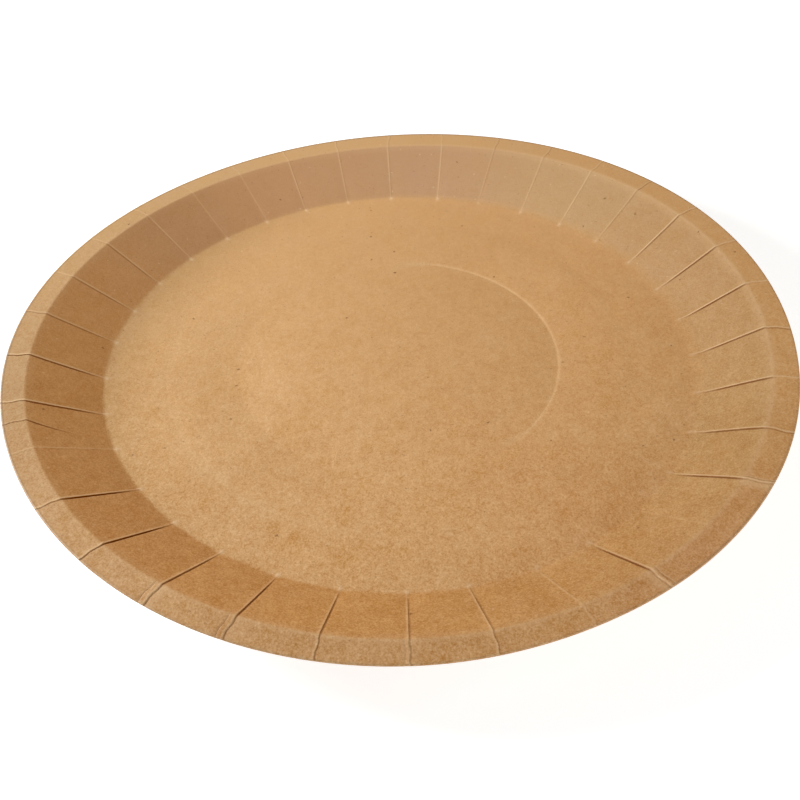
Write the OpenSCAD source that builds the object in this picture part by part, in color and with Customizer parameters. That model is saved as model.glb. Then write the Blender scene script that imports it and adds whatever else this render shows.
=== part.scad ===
// Round paper plate, pressed from one blank of kraft board.
// The plate rests on its middle disc at z = 0, and the origin is the middle of that face.

/* [Board] */
// Diameter of the plate
plate_d = 230; // [200:5:265]
// Thickness of the board
board_t = 0.5; // [0.35:0.05:0.8]

/* [Wall and lip] */
// Width of the lip, from the fold to the cut edge
lip_w = 7; // [4:0.5:12]
// Height that the lip climbs from the fold to the cut edge
lip_rise = 0.8; // [0:0.1:1.5]
// Bend radius of the fold between wall and lip
fold_bend_r = 2.2; // [1:0.2:3]
// Width of the wall, seen from above
wall_w = 19; // [14:1:26]
// Height of the wall, from the floor's edge to the fold
wall_h = 10.4; // [8:0.2:16]
// Bend radius between wall and floor
floor_bend_r = 3; // [1.5:0.5:5]

/* [Floor] */
// Height of the floor's edge above the middle disc
floor_lift = 3.5; // [2.5:0.25:6]
// Width of the floor's band outside the outer ring
outer_band_w = 20; // [14:1:26]
// Height of the outer ring above the middle disc
ring_lift = 1.7; // [1:0.1:2.5]
// Height that the floor drops outside the outer ring
ring_drop = 0.2; // [0.1:0.05:0.4]
// Width of that drop
ring_drop_w = 2; // [1.5:0.1:3]
// Bend radius of the outer ring
ring_bend_r = 2.5; // [1:0.5:4]
// Width of the floor's band between the middle disc and the outer ring
inner_band_w = 20; // [14:1:26]
// Height of the step round the middle disc
disc_step = 0.25; // [0.15:0.05:0.5]
// Width of that step
disc_step_w = 1; // [0.8:0.1:2]
// Bend radius of that step
disc_bend_r = 0.7; // [0.6:0.1:1]

/* [Pleats] */
// Number of places where the blank is scored for a pleat
pleat_count = 34; // [20:1:40]
// Angle of the first pleat
pleat_start = 5.1; // [0:0.1:10]
// Place in the row of the pleat that stayed flat
flat_pleat = 29; // [0:1:40]
// Direction in which the pleats lean over
lean_angle = -65; // [-180:5:180]
// Height of a pleat's ridge above the board
ridge_h = 0.25; // [0.1:0.05:0.4]
// Width of the ridge at the cut edge
ridge_w = 1.1; // [0.8:0.1:1.6]
// Width of the ridge at its tip
ridge_tip_w = 0.5; // [0.4:0.1:0.7]
// Width of the crease beside the ridge
crease_w = 0.35; // [0.2:0.05:0.5]
// Depth of the crease
crease_depth = 0.2; // [0.05:0.05:0.25]
// Length by which a pleat's tip reaches onto the floor
tip_reach = 1.5; // [0.5:0.5:4]
// Angle of the one short pleat that lies between two places
stray_angle = 200; // [198:0.5:202]
// Length of the short pleat on the wall
stray_len = 12; // [6:1:13]

/* [Hidden] */
$fn = 180;
bend_steps = 4;
spare = 2;
sink = 0.05;

plate_r = plate_d / 2;
fold_r = plate_r - lip_w;
floor_r = fold_r - wall_w;
ring_r = floor_r - outer_band_w;
disc_r = ring_r - inner_band_w;
tip_r = floor_r - tip_reach;
stray_r = fold_r - stray_len;

half_t = board_t / 2;
floor_z = half_t + floor_lift;
fold_z = floor_z + wall_h;

// Middle line of the board from the axis to beyond the cut edge.
// Each corner holds its radius, its height and its bend radius.
corners = [
    [disc_r, half_t, disc_bend_r],
    [disc_r + disc_step_w, half_t + disc_step, disc_bend_r],
    [ring_r, half_t + ring_lift, ring_bend_r],
    [ring_r + ring_drop_w, half_t + ring_lift - ring_drop, ring_bend_r],
    [floor_r, floor_z, floor_bend_r],
    [fold_r, fold_z, fold_bend_r],
];
last = len(corners);
first_spot = [0, half_t];
last_spot = [fold_r, fold_z] + [lip_w, lip_rise] * (lip_w + spare) / lip_w;

function spot(i) =
    i < 0 ? first_spot :
    i == last ? last_spot :
    [corners[i].x, corners[i].y];
function heading(i) =
    let (way = spot(i) - spot(i - 1))
    atan2(way.y, way.x);
function along(h) = [cos(h), sin(h)];
function across(h) = [-sin(h), cos(h)];

// A station is a point of the middle line with the line's heading there.
// This one is step k of the bend at corner i.
function bend_station(i, k) =
    let (
        enter = heading(i),
        turn = heading(i + 1) - enter,
        bend_r = corners[i].z,
        start = spot(i) - bend_r * tan(abs(turn) / 2) * along(enter),
        centre = start + sign(turn) * bend_r * across(enter),
        h = enter + turn * k / bend_steps
    )
    [centre - sign(turn) * bend_r * across(h), h];
function bend(i) = [for (k = [0 : bend_steps]) bend_station(i, k)];

// Station on the straight stretch that ends at corner i, at radius r
function straight_station(i, r) =
    let (from = spot(i - 1), way = spot(i) - from)
    [from + way * (r - from.x) / way.x, heading(i)];

function offset_point(station, gap) = station[0] + gap * across(station[1]);
function backwards(list) = [for (i = [len(list) - 1 : -1 : 0]) list[i]];

board_line = [
    [first_spot, heading(0)],
    for (i = [0 : last - 1]) each bend(i),
    [last_spot, heading(last)],
];
pleat_line = [
    straight_station(last - 2, tip_r - spare),
    each bend(last - 2),
    straight_station(last - 1, (floor_r + fold_r) / 2),
    each bend(last - 1),
    [last_spot, heading(last)],
];

// Share of its full height that a pleat has reached at radius r
function grown(r) = min(1, max(0, 2 * (r - tip_r) / (fold_r - tip_r)));
function ridge_top(r) = half_t - sink + (ridge_h + sink) * grown(r);
function crease_bottom(r) = half_t + sink - (crease_depth + sink) * grown(r);

module board() {
    rotate_extrude()
        polygon([
            for (s = board_line) offset_point(s, -half_t),
            for (s = backwards(board_line)) offset_point(s, half_t),
        ]);
}

// Layer from which the ridges are cut: it starts inside the board
module ridge_layer() {
    rotate_extrude()
        polygon([
            for (s = pleat_line) offset_point(s, 0),
            for (s = backwards(pleat_line)) offset_point(s, ridge_top(s[0].x)),
        ]);
}

// Layer from which the creases are cut: it ends above the ridges
module crease_layer() {
    rotate_extrude()
        polygon([
            for (s = pleat_line) offset_point(s, crease_bottom(s[0].x)),
            for (s = backwards(pleat_line)) offset_point(s, board_t + ridge_h + spare),
        ]);
}

// Strip along a radius, from one side of it to width w at the cut edge
module strip(from_r, tip_w, w) {
    to_r = plate_r + 2 * spare;
    linear_extrude(height = fold_z + lip_w + board_t + 2 * spare)
        polygon([[from_r, 0], [to_r, 0], [to_r, w], [from_r, tip_w]]);
}

// Strips at every pleat, on the side that it leans to (1) or away from (-1)
module strips(side, tip_w, w) {
    for (i = [0 : pleat_count - 1])
        if (i != flat_pleat) {
            angle = pleat_start + i * 360 / pleat_count;
            turned_strip(angle, side, tip_r, tip_w, w);
        }
    turned_strip(stray_angle, side, stray_r, tip_w, w);
}

module turned_strip(angle, side, from_r, tip_w, w) {
    lean = sin(lean_angle - angle) > 0 ? 1 : -1;
    rotate(angle)
        strip(from_r, side * lean * tip_w, side * lean * w);
}

module plate() {
    color([0.80, 0.63, 0.44])
        intersection() {
            difference() {
                union() {
                    board();
                    intersection() {
                        ridge_layer();
                        strips(-1, ridge_tip_w, ridge_w);
                    }
                }
                intersection() {
                    crease_layer();
                    strips(1, crease_w, crease_w);
                }
            }
            cylinder(r = plate_r, h = fold_z + lip_w + spare);
        }
}

plate();
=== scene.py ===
import math

import bmesh
import bpy
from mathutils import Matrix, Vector


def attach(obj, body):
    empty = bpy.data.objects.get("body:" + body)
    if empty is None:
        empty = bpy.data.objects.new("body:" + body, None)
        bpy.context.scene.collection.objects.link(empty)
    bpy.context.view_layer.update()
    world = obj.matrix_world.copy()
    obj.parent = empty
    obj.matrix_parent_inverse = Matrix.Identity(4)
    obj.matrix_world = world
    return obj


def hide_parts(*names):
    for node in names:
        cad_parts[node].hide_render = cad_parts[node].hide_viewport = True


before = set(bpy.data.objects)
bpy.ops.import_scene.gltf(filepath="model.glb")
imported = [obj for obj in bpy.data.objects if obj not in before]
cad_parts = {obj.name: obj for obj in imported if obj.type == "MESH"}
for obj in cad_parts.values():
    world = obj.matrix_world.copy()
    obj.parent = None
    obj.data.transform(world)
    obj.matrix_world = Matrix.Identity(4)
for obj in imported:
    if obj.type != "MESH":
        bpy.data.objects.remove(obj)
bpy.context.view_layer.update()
print("frame loaded, nodes:", sorted(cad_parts))

mm = 0.001


def rise(x, low, high):
    share = min(1.0, max(0.0, (x - low) / (high - low)))
    return share * share * (3 - 2 * share)


def mix(a, b, share):
    return a + (b - a) * share


def away(angle, middle):
    return abs((angle - middle + 180) % 360 - 180)


def swell(angle, middle, width):
    return math.exp(-(away(angle, middle) / width) ** 2)


# The board. Sizes are in mm and angles in degrees, anticlockwise from the right.
board = {
    "thickness": 0.5,
    # corners of the upper face: radius, height, bend radius, steps in the bend, cuts in the stretch before it
    "corners": [
        (42, 0.5, 0, 0, 2),
        (48.7, 0.5, 0, 0, 2),
        (49.2, 0.5, 0.4, 2, 0),
        (49.8, 0.64, 0.4, 2, 0),
        (50.4, 0.71, 0, 0, 0),
        (69, 2.2, 2.5, 3, 2),
        (71, 2.0, 2.5, 3, 0),
        (85, 3.556, 0, 0, 2),
        (89, 4.0, 3.0, 5, 3),
        (91.5, 5.368, 0, 0, 1),
        (108, 14.4, 2.2, 5, 7),
        (109.1, 14.526, 0, 0, 0),
        (114.15, 15.103, 0, 0, 3),
        (114.5, 15.143, 0, 0, 0),
    ],
    "cutEdge": (115, 15.2),
    "discR": 49,
    "ringR": 70,
    "floorR": 89,
    "lipR": 108,
    "edgeR": 115,
    # how far inside and outside the floor's edge the wall's tone fades, and how far on either side of the fold
    "wallFade": (0.6, 0.8),
    "lipFade": 0.6,
    # the middle disc's step is crisp round this angle, and further off it is spread inwards and fades away
    "crispAngle": 16,
    "crispReach": (58, 84),
    "fadeWidth": 7,
    "fadeStart": 30,
    # outside the outer ring the floor is this much higher, and comes back to its height between two radii
    "ringFill": 0.32,
    "fillFade": (72, 82),
    # round this angle the wall rises from the floor in a soft bend: half its width and how much fills it,
    # and the same of the line in its middle
    "softAngle": 15,
    "softSpread": 60,
    "softBend": (3, 0.3),
    "softLine": (0.6, 0.06),
    # the board is bent like a saddle, high at this angle and opposite it
    "saddleAngle": 22.7,
    "saddleHeight": 1.8,
    # angle, width and shift in mm, where the pressed edges stray
    "floorEdgeStrays": [(55, 41, -2.8), (333, 29, 1.4)],
    "lipStrays": [(170, 50, 0.5), (58, 40, -0.6)],
    "strayStart": 71,
    # how far a pleat pushes the floor's edge out, and over how many degrees
    "scallop": (0.3, 1.3),
    # angle, width and shift in mm, where the cut edge strays, and where the lip's outer half droops
    "edgeStrays": [(-68, 16, -0.35), (-28, 14, 0.3), (-150, 20, -0.35), (130, 20, -0.35)],
    "lipDroops": [(-70, 18, -0.35), (-28, 14, 0.2)],
    "droopStart": 111,
    # angle, width and strength where the rim is painted grey, the cut edge's own grey and painted shade where the
    # lamp lights it, and how far in from the edge
    "rimShades": [(190, 40, 0.55), (115, 50, 0.4), (-45, 25, 0.25)],
    "rimShadeWidth": (0.85, 0.5),
    # angle, width and strength of the fold's pale band, a painted highlight along its crest, partly the board's
    # burnish: all round it has the least strength
    "foldHighlights": [(10, 50, 0.7), (268, 28, 0.4)],
    "foldLeast": 0.3,
    "foldShift": 0.2,
    "foldWidth": 0.65,
    # the inner ring's painted highlight starts and ends at these radii, and the outer ring's shows round one
    # angle
    "innerLine": (48.8, 49.3, 49.7, 50.2),
    "outerLines": [(225, 50, 0.7)],
    "outerShift": 0.5,
    "outerWidth": 1.2,
}


# What the rows of one of the lists above add up to at an angle
def sumRows(name, angle):
    return sum(size * swell(angle, middle, width) for middle, width, size in board[name])


# One row for each place where the blank is scored, anticlockwise from the right.
# wall, lip: how deep the crease is there and how dark its painted shade. ridge: how proud the board stands beside
# it and how pale, partly fold whitening and partly painted highlight.
# split: width in mm of the band that lies folded flat on the lip.
# floorTurn, foldTurn, lipTurn: how far the line strays there, in tenths of a degree.
pleatNames = ("wall", "ridge", "lip", "split", "floorTurn", "foldTurn", "lipTurn")
pleats = [
    (0.72, 1.05, 0.10, 0, -8, 1, -2),
    (0.66, 0.85, 0.15, 0, -10, 2, 1),
    (0.43, 0.80, 0.22, 0, -10, 3, 2),
    (0.16, 0.30, 0.30, 0, -10, 3, 2),
    (0.05, 0.42, 0.12, 0, -10, 2, 0),
    (0.05, 0.28, 0.20, 0, -10, 1, -1),
    (0.10, 0.15, 0.20, 0, -4, -2, -2),
    (0.00, 0.35, 0.03, 0, -7, -1, 4),
    (0.02, 0.35, 0.10, 0, 2, 4, 0),
    (0.02, 0.30, 0.10, 0, 2, 0, 0),
    (0.02, 0.35, 0.05, 0, 1, -3, -2),
    (0.00, 0.30, 0.03, 0, -3, -2, 0),
    (0.00, 0.30, 0.05, 0, 1, -2, 0),
    (0.05, 0.45, 0.05, 0, 3, -2, 1),
    (0.35, 0.50, 0.08, 0, 5, -2, 2),
    (0.38, 0.60, 0.03, 0, 4, -1, 0),
    (0.46, 0.55, 0.35, 0, 4, -2, -1),
    (0.78, 0.90, 0.55, 0, 8, -4, -1),
    (0.84, 0.95, 0.35, 0, 6, -3, -2),
    (0.04, 0.40, 0.03, 0, -2, -3, 0),
    (1.00, 0.75, 0.30, 0, 5, 3, 2),
    (1.00, 0.55, 0.55, 0, 3, 1, 1),
    (0.72, 0.55, 0.45, 1.8, 2, 1, 3),
    (0.76, 0.35, 0.40, 1.8, 2, 2, 2),
    (0.55, 0.35, 0.38, 0, 0, 0, 2),
    (0.35, 0.40, 0.24, 1.1, 0, 0, 1),
    (0.33, 0.42, 0.26, 0, -8, -6, -7),
    (0.03, 0.35, 0.05, 0, 1, 5, 2),
    (0.80, 0.65, 0.25, 1.4, -2, 0, -1),
    (0.00, 0.15, 0.00, 0, 0, 0, 0),
    (0.76, 0.80, 0.28, 0.9, -1, -5, 3),
    (0.68, 0.80, 0.40, 0, 0, -6, -6),
    (0.74, 0.90, 0.05, 0, -3, -6, -5),
    (0.65, 0.95, 0.42, 0, -6, -1, -7),
]
strayPleat = (0.75, 0.20, 0.40, 0, 37, -3, -1)

pleating = {
    "first": 5.1,
    "leanAngle": -65,
    "ridgeHeight": 0.08,
    "creaseDepth": 0.14,
    "splitDepth": 0.22,
    "splitWidth": 0.3,
    "bandHeight": 0.1,
    "tipHeight": 0.15,
    # the share of a crease and of a ridge that shows underneath, where a crease is a groove too
    "creaseBelow": -0.5,
    "ridgeBelow": 0.4,
    # radius of the tip and of the place where the crease is full, and where they start beyond the tip
    "tip": 86,
    "full": 96,
    "creaseStart": 2,
    "ridgeStart": (1.5, 3),
    # height of the ridge at its start and on the lip, as a share of its height at the fold
    "startShare": 0.55,
    "lipShare": 0.7,
    # half the width in which the wall's crease turns into the lip's
    "foldBlend": 1.5,
    "strayAngle": 200,
    "strayTip": 94,
    # how far the lines waver on the lip in degrees, how fast, and how much each differs from the next
    "waver": (0.1, 1.1, 2.3),
    # how hollow the stray pleat's line is between floor and fold
    "lineCurve": 1.3,
    # the section across a pleat, in mm from its line, the side it leans to being positive:
    # where the ridge climbs and drops, where the crease drops, and where it climbs on the wall and on the lip
    "ridgeClimb": (-0.95, -0.1),
    "ridgeDrop": (-0.05, 0.1),
    "creaseDrop": (-0.02, 0.12),
    "creaseClimb": ((0.42, 0.75), (0.25, 0.55)),
    # the same of the colour: the crease's painted shade, and the pale beside it, partly painted highlight
    "darkStart": (-0.12, 0.03),
    "paleStart": (-0.75, -0.45),
    "paleEnd": (-0.22, -0.05),
    "lipPale": 0.4,
    # the pale dots at the tips, partly fold whitening and partly painted highlight on the raised ends: distance
    # up the pleat, half length, half width, most strength
    "tipDot": (2.3, 0.75, 1.2, 0.7),
    # they are faint round this angle
    "faintTips": -35,
    "faintSpread": 70,
    "faintness": 0.55,
    # columns of the mesh across a pleat, in mm at the cut edge
    "across": [-1.4, -0.9, -0.6, -0.42, -0.25, -0.1, 0.0, 0.08, 0.16, 0.28, 0.42, 0.56, 0.75, 1.05, 1.5],
    "acrossSplit": [-0.6, -0.22, 0.0, 0.22],
    "leastGap": 0.13,
    "panelColumns": 9,
}


def listPleats():
    step = 360 / len(pleats)
    made = [dict(zip(pleatNames, row), angle=pleating["first"] + i * step, tip=pleating["tip"])
            for i, row in enumerate(pleats)]
    made.append(dict(zip(pleatNames, strayPleat), angle=pleating["strayAngle"], tip=pleating["strayTip"]))
    made.sort(key=lambda pleat: pleat["angle"])
    for pleat in made:
        pleat["lean"] = 1 if math.sin(math.radians(pleating["leanAngle"] - pleat["angle"])) > 0 else -1
        second = [x - pleat["split"] for x in pleating["acrossSplit"]] if pleat["split"] else []
        first = [x for x in pleating["across"] if all(abs(x - other) > pleating["leastGap"] for other in second)]
        pleat["across"] = sorted(x * pleat["lean"] for x in first + second)
    return made


# Each column of the mesh: its angle, the pleats on its two sides, its share of the way between them,
# and its distance from its own pleat, which is None on the open panels
def listColumns(made):
    perMm = math.degrees(1 / board["edgeR"])
    columns = []
    for pleat, after in zip(made, made[1:] + made[:1]):
        for x in pleat["across"]:
            columns.append((pleat["angle"] + x * perMm, pleat, after, 0, x * pleat["lean"]))
        last = columns[-1][0]
        gap = (after["angle"] + after["across"][0] * perMm - last) % 360
        for j in range(1, pleating["panelColumns"] + 1):
            share = j / (pleating["panelColumns"] + 1)
            columns.append((last + gap * share, pleat, after, share, None))
    return columns


# One half section of the upper face, spun round and given its thickness
def spinBoard(steps):
    names = ("r", "z", "bend", "steps", "cuts")
    corners = [dict(zip(names, row)) for row in board["corners"]]
    spots = [Vector((0, corners[0]["z"]))] + [Vector((c["r"], c["z"])) for c in corners]
    spots.append(Vector(board["cutEdge"]))
    bm = bmesh.new()
    chain = [bm.verts.new((spot.x * mm, 0, spot.y * mm)) for spot in spots]
    for pair in zip(chain, chain[1:]):
        bm.edges.new(pair)
    for k, corner in enumerate(corners):  # the bends
        if corner["bend"]:
            turn = abs((spots[k + 1] - spots[k]).angle_signed(spots[k + 2] - spots[k + 1]))
            bmesh.ops.bevel(bm, geom=[chain[k + 1]], offset=corner["bend"] * math.tan(turn / 2) * mm,
                            offset_type="OFFSET", segments=corner["steps"], profile=0.5,
                            affect="VERTICES", material=-1)
    cuts = [c["cuts"] for c in corners] + [0]
    for inner, outer, count in zip(spots, spots[1:], cuts):  # the straight stretches
        middle = (inner.x + outer.x) / 2 * mm
        edge = next(e for e in bm.edges if min(v.co.x for v in e.verts) < middle < max(v.co.x for v in e.verts))
        if count:
            bmesh.ops.subdivide_edges(bm, edges=[edge], cuts=count)
    bmesh.ops.spin(bm, geom=bm.verts[:] + bm.edges[:], cent=(0, 0, 0), axis=(0, 0, 1),
                   angle=math.tau, steps=steps, use_merge=True)
    bmesh.ops.remove_doubles(bm, verts=bm.verts, dist=1e-7)
    bmesh.ops.recalc_face_normals(bm, faces=bm.faces)
    bmesh.ops.solidify(bm, geom=bm.faces[:], thickness=board["thickness"] * mm)
    bm.normal_update()
    return bm


# How far round the plate a pleat's line has strayed at radius r, in degrees
def strayTurn(pleat, r):
    floorR, lipR, edgeR = board["floorR"], board["lipR"], board["edgeR"]
    if r < floorR:
        turn = pleat["floorTurn"] * rise(r, board["strayStart"], floorR - 2)
    elif r < lipR:
        share = (r - floorR) / (lipR - floorR)
        curve = pleating["lineCurve"] if pleat["tip"] > floorR else 1
        turn = mix(pleat["floorTurn"], pleat["foldTurn"], share ** curve)
    else:
        turn = mix(pleat["foldTurn"], pleat["lipTurn"], (r - lipR) / (edgeR - lipR))
    waver, pace, spread = pleating["waver"]
    return turn / 10 + waver * math.sin(pace * r + spread * pleat["angle"]) * rise(r, lipR, lipR + 2)


# Beside a pleat's line: height of the upper face in mm, the crease's painted shade, and the paleness of the ridge
# and the tip, partly fold whitening and partly painted highlight
def pleatRelief(pleat, r, x):
    lipR = board["lipR"]
    reachesFloor = pleat["tip"] < board["floorR"]
    full = pleating["full"] if reachesFloor else lipR - 2
    started = rise(r - pleat["tip"], *pleating["ridgeStart"])
    grown = rise(r, pleat["tip"] + pleating["creaseStart"], full)
    onLip = rise(r, lipR - pleating["foldBlend"], lipR + pleating["foldBlend"])
    ridge = pleat["ridge"] * mix(started * mix(pleating["startShare"], 1, grown), pleating["lipShare"], onLip)
    crease = mix(pleat["wall"] * grown, pleat["lip"], onLip)
    low, high = [mix(onWall, there, onLip) for onWall, there in zip(*pleating["creaseClimb"])]
    crease *= 1 - rise(x, low, high)
    height = pleating["ridgeHeight"] * ridge * rise(x, *pleating["ridgeClimb"])
    height *= 1 - rise(x, *pleating["ridgeDrop"])
    height -= pleating["creaseDepth"] * crease * rise(x, *pleating["creaseDrop"])
    crease *= rise(x, *pleating["darkStart"])
    pale = mix(ridge, ridge + pleating["lipPale"] * pleat["lip"], onLip)
    pale *= rise(x, *pleating["paleStart"]) * (1 - rise(x, *pleating["paleEnd"]))
    tip = 0
    if reachesFloor:
        up, length, width, most = pleating["tipDot"]
        tip = math.exp(-((r - pleat["tip"] - up) / length) ** 2) * max(0, 1 - abs(x) / width)
        faint = swell(pleat["angle"], pleating["faintTips"], pleating["faintSpread"])
        tip *= min(most, 2 * pleat["ridge"]) * (1 - pleating["faintness"] * faint)
    if pleat["split"]:  # a second line beside the first, and the band between them
        side, line = -pleat["split"], pleating["splitWidth"]
        second = onLip * pleat["lip"] * max(0, 1 - abs(x - side) / line)
        band = onLip * rise(x, side, side + line) * (1 - rise(x, -line, 0))
        height += pleating["bandHeight"] * band - pleating["splitDepth"] * second
        crease = max(crease, second)
        pale += 0.5 * onLip * pleat["ridge"] * rise(x, side - 0.7, side - 0.2) * (1 - band)
    return height + pleating["tipHeight"] * tip, crease, min(1, pale), tip


# Painted shade and light: the wall and the lip are darker than the floor, and each zone's colour drifts a little
# across the plate
tonesAndShade = {
    # tone of each zone with its painted shade, then the share by which its red, green and blue drift and the
    # angle they drift to
    "floor": ((1, 1, 1), ((0.04, -113), (0.08, -158), (0.15, -172))),
    "wall": ((0.835, 0.780, 0.726), ((0.07, -160), (0.03, 60), (0.20, 66))),
    "lip": ((0.90, 0.90, 0.90), ((0.12, 38), (0.12, 68), (0.15, 100))),
}
# angle and width of the paler and darker stretches of each zone, painted light and shade, and how far their red,
# green and blue go
shadePatches = {
    "floor": [(232, 16, (-0.07, -0.08, -0.08)), (304, 18, (-0.01, -0.06, -0.09))],
    "wall": [(50, 16, (0, 0.05, 0.07)), (86, 22, (-0.08, -0.06, 0.05)), (118, 12, (0.04, 0.03, 0.10)),
             (140, 12, (-0.06, -0.05, 0.02)), (185, 28, (0, -0.01, -0.08)), (260, 20, (0.05, 0.05, 0.04)),
             (331, 16, (-0.05, -0.03, -0.05))],
    "lip": [(98, 45, (0.02, 0.03, 0.08)), (192, 16, (-0.07, -0.07, -0.07)), (232, 28, (0.12, 0.12, 0.12)),
            (309, 14, (-0.04, -0.09, -0.10))],
}


# The inner ring: 1 where it is crisp, 0 where it has faded away
def crispness(angle):
    return 1 - rise(away(angle, board["crispAngle"]), *board["crispReach"])


# The bend between floor and wall: 1 where it is softest
def softness(angle):
    return swell(angle, board["softAngle"], board["softSpread"])


# each zone's tone with its painted shade and light, blended across the bends
def toneAndShadeAt(angle, r):
    shades = []
    for zone, (level, drifts) in tonesAndShade.items():
        shade = [a * (1 + share * math.cos(math.radians(angle - to))) for a, (share, to) in zip(level, drifts)]
        for middle, width, steps in shadePatches[zone]:
            shade = [a * (1 + d * swell(angle, middle, width)) for a, d in zip(shade, steps)]
        shades.append(shade)
    floor, wall, lip = shades
    outward = min(1, r / board["edgeR"])
    floor = [mix(1, a, outward) for a in floor]
    floorR, lipR = board["floorR"], board["lipR"]
    inner, outer = [mix(crisp, board["softBend"][0], softness(angle)) for crisp in board["wallFade"]]
    onWall = rise(r, floorR - inner, floorR + outer)
    onLip = rise(r, lipR - board["lipFade"], lipR + board["lipFade"])
    return [mix(mix(a, b, onWall), c, onLip) for a, b, c in zip(floor, wall, lip)]


# How much the fold and the rings are painted paler, a painted highlight partly with the board's burnish, and how
# much the cut edge is painted grey, its own grey and painted shade where the lamp lights it
def paintedHighlightsAndEdge(angle, r, upper):
    lipR, edgeR, ringR = board["lipR"], board["edgeR"], board["ringR"]
    start, end = board["rimShadeWidth"]
    paint = {"cutEdge": min(1, sumRows("rimShades", angle)) * rise(r, edgeR - start, edgeR - end)}
    if upper:
        band = board["foldLeast"] + sumRows("foldHighlights", angle)
        paint["foldBand"] = band * math.exp(-((r - lipR - board["foldShift"]) / board["foldWidth"]) ** 2)
        start, full, over, end = board["innerLine"]
        line = crispness(angle) * rise(r, start, full) * (1 - rise(r, over, end))
        outer = math.exp(-((r - ringR - board["outerShift"]) / board["outerWidth"]) ** 2)
        paint["ringHighlight"] = line + sumRows("outerLines", angle) * outer
    return paint


# How much higher than the plain section the board stands there, in mm
def boardLift(angle, r):
    discR, ringR, floorR, edgeR = board["discR"], board["ringR"], board["floorR"], board["edgeR"]
    lift = board["ringFill"] * rise(r, ringR - 1, ringR + 1) * (1 - rise(r, *board["fillFade"]))
    fromBend = abs(r - floorR)
    (reach, fill), (lineReach, dip) = board["softBend"], board["softLine"]
    bend = fill * max(0, 1 - fromBend / reach) ** 2 - dip * max(0, 1 - fromBend / lineReach) ** 2
    lift += softness(angle) * bend
    droop = max(0, (r - board["droopStart"]) / (edgeR - board["droopStart"]))
    lift -= sumRows("lipDroops", angle) * droop ** 2
    outward = min(1, max(0, (r - discR) / (edgeR - discR)))
    saddle = math.cos(2 * math.radians(angle - board["saddleAngle"]))
    return lift + board["saddleHeight"] * (1 - (1 - outward) ** 2) * saddle


# The radius to which the strays of the press move what lies at radius r, in mm.
# fromPleat: how many degrees the nearest pleat is away.
def strayRadius(angle, r, fromPleat):
    discR, floorR, lipR, edgeR = board["discR"], board["floorR"], board["lipR"], board["edgeR"]
    inward = board["fadeWidth"] * (1 - crispness(angle)) * rise(r, board["fadeStart"], discR)
    moved = r - inward * (1 - rise(r, discR, discR + 1))
    depth, width = board["scallop"]
    floorPush = sumRows("floorEdgeStrays", angle) + depth * math.exp(-(fromPleat / width) ** 2)
    moved += floorPush * (rise(r, board["strayStart"], floorR) if r < floorR else 1 - rise(r, floorR, lipR))
    lipPush = sumRows("lipStrays", angle)
    moved += lipPush * (rise(r, floorR, lipR) if r < lipR else 1 - rise(r, lipR, edgeR))
    return moved + sumRows("edgeStrays", angle) * rise(r, lipR, edgeR)


# The mesh round the whole plate is moved as the press and the damp have left the real one
def shapePlate():
    made = listPleats()
    columns = listColumns(made)
    bm = spinBoard(len(columns))
    print("board spun:", len(columns), "columns,", len(bm.faces), "faces")
    names = ("crease", "pale", "tip", "foldBand", "cutEdge", "ringHighlight")
    layers = {name: bm.verts.layers.float.new(name) for name in names}
    tone = bm.verts.layers.float_color.new("tone")
    step = 360 / len(columns)
    for v in bm.verts:
        r = v.co.xy.length / mm
        if r < 0.01:  # the axis stays
            continue
        upper = v.normal.z > 0
        turned = math.degrees(math.atan2(v.co.y, v.co.x)) % 360
        angle, pleat, after, share, x = columns[round(turned / step) % len(columns)]
        angle += mix(strayTurn(pleat, r), strayTurn(after, r), share)
        height, crease, pale, tip = (0, 0, 0, 0) if x is None else pleatRelief(pleat, r, x)
        if not upper:  # less of a pleat shows underneath
            height *= pleating["creaseBelow"] if height < 0 else pleating["ridgeBelow"]
        height += boardLift(angle, r)
        moved = strayRadius(angle, r, min(away(angle, p["angle"]) for p in (pleat, after)))
        turn = math.radians(angle)
        v.co = (moved * mm * math.cos(turn), moved * mm * math.sin(turn), v.co.z + height * mm)
        v[tone] = (*toneAndShadeAt(angle, r), 1)
        paint = paintedHighlightsAndEdge(angle, r, upper)
        if upper:
            paint.update(crease=crease, pale=pale, tip=tip)
        for name, value in paint.items():
            v[layers[name]] = value
    print("pleats pressed:", len(made))
    return bm


def finishMesh(name, bm):
    mesh = bpy.data.meshes.new(name)
    bm.to_mesh(mesh)
    bm.free()
    mesh.shade_smooth()
    obj = bpy.data.objects.new(name, mesh)
    bpy.context.scene.collection.objects.link(obj)
    return obj


def newMaterial(name):
    mat = bpy.data.materials.new(name)
    mat.use_nodes = True
    mat.node_tree.nodes.clear()
    return mat, mat.node_tree


def addNode(tree, kind, inputs=None, **settings):
    node = tree.nodes.new(kind)
    for key, value in settings.items():
        setattr(node, key, value)
    for key, value in (inputs or {}).items():
        if isinstance(value, bpy.types.NodeSocket):
            tree.links.new(value, node.inputs[key])
        else:
            node.inputs[key].default_value = value
    return node


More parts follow.
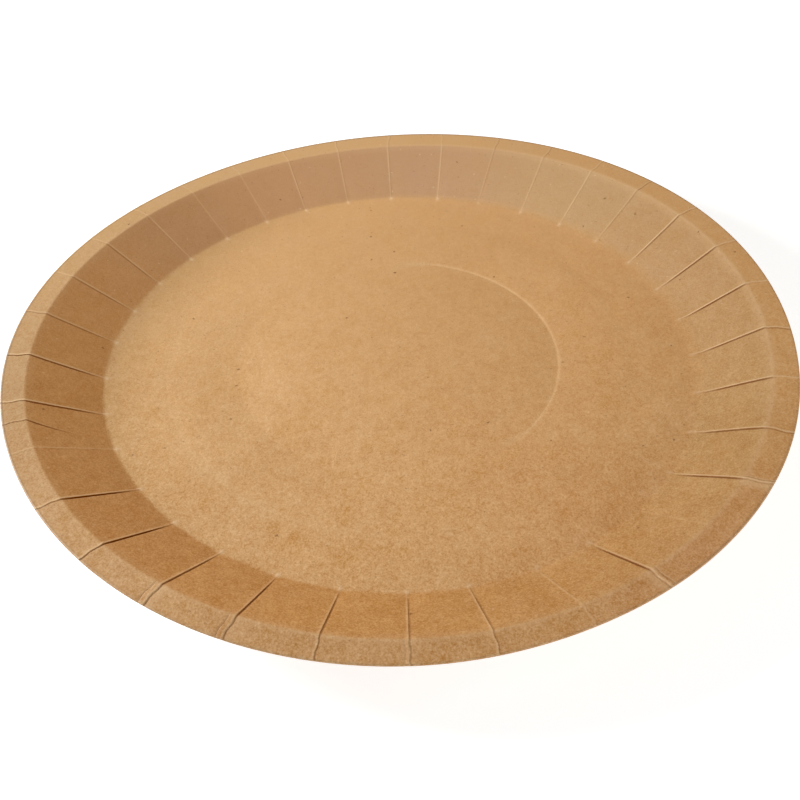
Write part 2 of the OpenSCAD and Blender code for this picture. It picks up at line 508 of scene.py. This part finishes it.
# The kraft board's finish. The colours are linear.
kraft = {
    "base": (0.652, 0.364, 0.149),
    # dark brown painted shade in the creases, stronger than the grooves' own shade
    "creaseShade": (0.15, 0.035, 0.002),
    # pale of the painted highlights on the ridges, the fold and the rings, partly the board's burnish
    "paleHighlight": (0.80, 0.55, 0.31),
    # grey of the cut edge, also painted shade where the lamp lights the rim
    "edgeGrey": (0.2, 0.13, 0.07),
    # noise scale, detail, roughness and strength of each size of mottling
    "mottling": [(2300, 1, 0.7, 0.36), (900, 1, 0.7, 0.20), (240, 1, 0.6, 0.13), (60, 1, 0.5, 0.08)],
    # how far it takes red, green and blue, then the same of a mottling that changes the hue alone
    "mottlingHue": (0.76, 0.72, 0.54),
    "hueMottling": [(420, 1, 0.6, 0.03), (110, 1, 0.5, 0.03)],
    "hueShift": (0.5, 0, -0.5),
    # the mottling is longer along the board's run, and weakens from the near side to the far side
    "grainRun": (1, 0.8, 1),
    "grainFade": (1.65, 0.08),
    # pale of the dots at the pleats' tips, partly painted highlight
    "tipHighlight": (0.95, 0.74, 0.5),
    # painted attribute, its strength and its colour: the painted highlights of fold and rings, and what lies over
    # the specks
    "foldAndRingHighlights": [("foldBand", 0.34, "paleHighlight"), ("ringHighlight", 0.21, "paleHighlight")],
    "marks": [("pale", 0.85, "paleHighlight"), ("tip", 0.62, "tipHighlight"), ("crease", 1, "creaseShade"),
              ("cutEdge", 1, "edgeGrey")],
    # cells to a metre, radius in mm, share of the cells used, strength and colour of each kind of speck
    "specks": [
        (120, 0.46, 0.06, 0.70, (0.17, 0.06, 0.018)),
        (240, 0.26, 0.16, 0.42, (0.16, 0.06, 0.02)),
        (420, 0.20, 0.35, 0.35, (0.20, 0.08, 0.03)),
        (260, 0.30, 0.12, 0.30, (0.85, 0.62, 0.38)),
    ],
    # noise scale and size in mm of the specks' ragged outlines
    "speckWobble": (1600, 1.2),
    "roughness": 0.6,
    "specular": 0.5,
    # the grain's relief: noise scale, detail, roughness, then its strength and depth in mm
    "grain": (1500, 3, 0.7),
    "grainStrength": 0.3,
    "grainDepth": 0.06,
}


def kraftMaterial():
    mat, tree = newMaterial("kraftBoard")
    place = addNode(tree, "ShaderNodeTexCoord").outputs["Object"]

    def math2(operation, a, b):
        return addNode(tree, "ShaderNodeMath", {0: a, 1: b}, operation=operation).outputs[0]

    def vector2(operation, a, b):
        return addNode(tree, "ShaderNodeVectorMath", {0: a, 1: b}, operation=operation).outputs[0]

    def painted(name, output="Fac"):
        return addNode(tree, "ShaderNodeAttribute", attribute_name=name).outputs[output]

    def tint(colour, share, other):
        return addNode(tree, "ShaderNodeMix", {0: share, 6: colour, 7: (*other, 1)}, data_type="RGBA").outputs[2]

    # each noise is shifted, so that no two show the same pattern
    def noise(scale, detail, roughness, shift):
        spot = addNode(tree, "ShaderNodeMapping", {"Vector": place, "Scale": kraft["grainRun"],
                                                   "Location": (shift, shift * 2, shift * 3)}).outputs[0]
        inputs = {"Vector": spot, "Scale": scale, "Detail": detail, "Roughness": roughness}
        return addNode(tree, "ShaderNodeTexNoise", inputs)

    def mottle(rows, shift):
        total = None
        for k, (scale, detail, roughness, strength) in enumerate(rows):
            value = math2("SUBTRACT", noise(scale, detail, roughness, shift + 0.3 * k).outputs["Fac"], 0.5)
            value = math2("MULTIPLY", value, strength)
            total = value if total is None else math2("ADD", total, value)
        return total

    def grey(value):
        return addNode(tree, "ShaderNodeCombineXYZ", {"X": value, "Y": value, "Z": value}).outputs[0]

    # mottling at several sizes, then the tone of each zone with its painted shade and light
    total = mottle(kraft["mottling"], 0.0)
    run = addNode(tree, "ShaderNodeSeparateXYZ", {"Vector": place}).outputs["Y"]
    edge, (nearSide, farSide) = board["edgeR"] * mm, kraft["grainFade"]
    fade = addNode(tree, "ShaderNodeMapRange", {"Value": run, "From Min": -edge, "From Max": edge,
                                                "To Min": nearSide, "To Max": farSide})
    total = math2("MULTIPLY", total, fade.outputs["Result"])
    colour = vector2("ADD", kraft["base"], vector2("MULTIPLY", grey(total), kraft["mottlingHue"]))
    hue = mottle(kraft["hueMottling"], 1.6)
    colour = vector2("ADD", colour, vector2("MULTIPLY", grey(hue), kraft["hueShift"]))
    colour = vector2("MULTIPLY", colour, painted("tone", "Color"))
    for name, strength, shade in kraft["foldAndRingHighlights"]:
        colour = tint(colour, math2("MULTIPLY", painted(name), strength), kraft[shade])

    # specks of bark and pale fibre
    wobbleScale, wobbleSize = kraft["speckWobble"]
    for k, (cells, radius, used, strength, speckColour) in enumerate(kraft["specks"]):
        wobble = vector2("SUBTRACT", noise(wobbleScale, 1, 0.5, 0.7 + k).outputs["Color"], (0.5, 0.5, 0.5))
        spot = vector2("ADD", place, vector2("MULTIPLY", wobble, (wobbleSize * mm, wobbleSize * mm, 0)))
        cell = addNode(tree, "ShaderNodeTexVoronoi", {"Vector": spot, "Scale": cells}, voronoi_dimensions="2D")
        size = radius * mm * cells
        near = addNode(tree, "ShaderNodeMapRange", {"Value": cell.outputs["Distance"], "From Min": size,
                                                    "From Max": size * 0.4, "To Min": 0, "To Max": strength})
        pick = addNode(tree, "ShaderNodeSeparateColor", {"Color": cell.outputs["Color"]}).outputs["Red"]
        share = math2("MULTIPLY", near.outputs["Result"], math2("LESS_THAN", pick, used))
        colour = tint(colour, share, speckColour)

    # pale ridges and tips, partly painted highlight; painted shade in the creases; and the cut edge, grey and
    # with painted shade where the lamp lights the rim
    for name, strength, shade in kraft["marks"]:
        colour = tint(colour, math2("MULTIPLY", painted(name), strength), kraft[shade])

    relief = noise(*kraft["grain"], 2.0).outputs["Fac"]
    grain = addNode(tree, "ShaderNodeBump", {"Height": relief, "Strength": kraft["grainStrength"],
                                             "Distance": kraft["grainDepth"] * mm}).outputs[0]
    # no gloss in the creases
    gloss = math2("MULTIPLY", math2("SUBTRACT", 1, painted("crease")), kraft["specular"])
    shader = addNode(tree, "ShaderNodeBsdfPrincipled", {"Base Color": colour, "Roughness": kraft["roughness"],
                                                       "Specular IOR Level": gloss, "Normal": grain})
    addNode(tree, "ShaderNodeOutputMaterial", {"Surface": shader.outputs[0]})
    return mat


plate = finishMesh("paperPlate", shapePlate())
plate.data.materials.append(kraftMaterial())
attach(plate, "root")
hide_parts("plate")
print("plate made:", len(plate.data.polygons), "faces")

# The floor, the lamps and the world
studio = {
    "floorSize": 6,
    "floorColour": (0.86, 0.86, 0.86),
    # the floor's own white that the camera sees, near and far, and the distances between which it changes
    "floorGlow": (0.6, 1.0),
    "glowReach": (0.45, 1.6),
    "worldColour": (1.0, 0.84, 0.66),
    "worldStrength": 0.118,
    # name, distance in metres, angle round the plate, angle above the floor, size, power, colour
    "lamps": [
        ("windowLamp", 0.55, 165, 22, 0.2, 4.43, (1, 1, 1)),
        ("nearLamp", 1.5, 300, 22, 0.8, 15.3, (0.8, 0.9, 1)),
        ("rightLamp", 1.5, 0, 15, 0.8, 7.5, (1, 0.88, 0.65)),
    ],
}


def makeFloor():
    bm = bmesh.new()
    bmesh.ops.create_grid(bm, x_segments=1, y_segments=1, size=studio["floorSize"] / 2)
    floor = finishMesh("studioFloor", bm)
    mat, tree = newMaterial("paleFloor")
    rays = addNode(tree, "ShaderNodeLightPath").outputs
    seen = rays["Is Camera Ray"]
    for other in ("Is Glossy Ray", "Is Transmission Ray"):
        seen = addNode(tree, "ShaderNodeMath", {0: seen, 1: rays[other]}, operation="MAXIMUM").outputs[0]
    place = addNode(tree, "ShaderNodeTexCoord").outputs["Object"]
    out = addNode(tree, "ShaderNodeVectorMath", {0: place}, operation="LENGTH").outputs["Value"]
    (near, far), (start, end) = studio["floorGlow"], studio["glowReach"]
    level = addNode(tree, "ShaderNodeMapRange", {"Value": out, "From Min": start, "From Max": end,
                                                 "To Min": near, "To Max": far}).outputs["Result"]
    glow = addNode(tree, "ShaderNodeMath", {0: seen, 1: level}, operation="MULTIPLY").outputs[0]
    matte = addNode(tree, "ShaderNodeBsdfDiffuse", {"Color": (*studio["floorColour"], 1)})
    white = addNode(tree, "ShaderNodeEmission", {"Strength": glow})
    both = addNode(tree, "ShaderNodeAddShader", {0: matte.outputs[0], 1: white.outputs[0]})
    addNode(tree, "ShaderNodeOutputMaterial", {"Surface": both.outputs[0]})
    floor.data.materials.append(mat)


def makeLamps():
    for name, distance, angle, height, size, power, colour in studio["lamps"]:
        light = bpy.data.lights.new(name, "AREA")
        light.shape = "DISK"
        light.size = size
        light.energy = power
        light.color = colour
        lamp = bpy.data.objects.new(name, light)
        turn, lift = math.radians(angle), math.radians(height)
        aim = Vector((math.cos(lift) * math.cos(turn), math.cos(lift) * math.sin(turn), math.sin(lift)))
        lamp.location = aim * distance
        lamp.rotation_euler = (-aim).to_track_quat("-Z", "Y").to_euler()
        lamp.visible_camera = False
        bpy.context.scene.collection.objects.link(lamp)


def makeWorld():
    world = bpy.data.worlds.new("studioWorld")
    world.use_nodes = True
    tree = world.node_tree
    tree.nodes.clear()
    seen = addNode(tree, "ShaderNodeLightPath").outputs["Is Camera Ray"]
    soft = addNode(tree, "ShaderNodeBackground", {"Color": (*studio["worldColour"], 1),
                                                  "Strength": studio["worldStrength"]})
    white = addNode(tree, "ShaderNodeBackground", {"Color": (1, 1, 1, 1), "Strength": 1})
    both = addNode(tree, "ShaderNodeMixShader", {0: seen, 1: soft.outputs[0], 2: white.outputs[0]})
    addNode(tree, "ShaderNodeOutputWorld", {"Surface": both.outputs[0]})
    bpy.context.scene.world = world


makeFloor()
makeLamps()
makeWorld()
print("studio made")

# The camera stands where the photograph's stood
view = {
    "lens": 42.82,
    "sensorWidth": 36,
    "nearest": 0.01,
    "place": (-0.00012, -0.22218, 0.19722),
    "turn": (45.884, 1.770, -1.717),
}

camera = bpy.data.objects.new("camera", bpy.data.cameras.new("camera"))
camera.data.lens = view["lens"]
camera.data.sensor_width = view["sensorWidth"]
camera.data.clip_start = view["nearest"]
camera.location = view["place"]
camera.rotation_euler = [math.radians(a) for a in view["turn"]]
bpy.context.scene.collection.objects.link(camera)
bpy.context.scene.camera = camera
bpy.context.scene.view_settings.view_transform = "Standard"
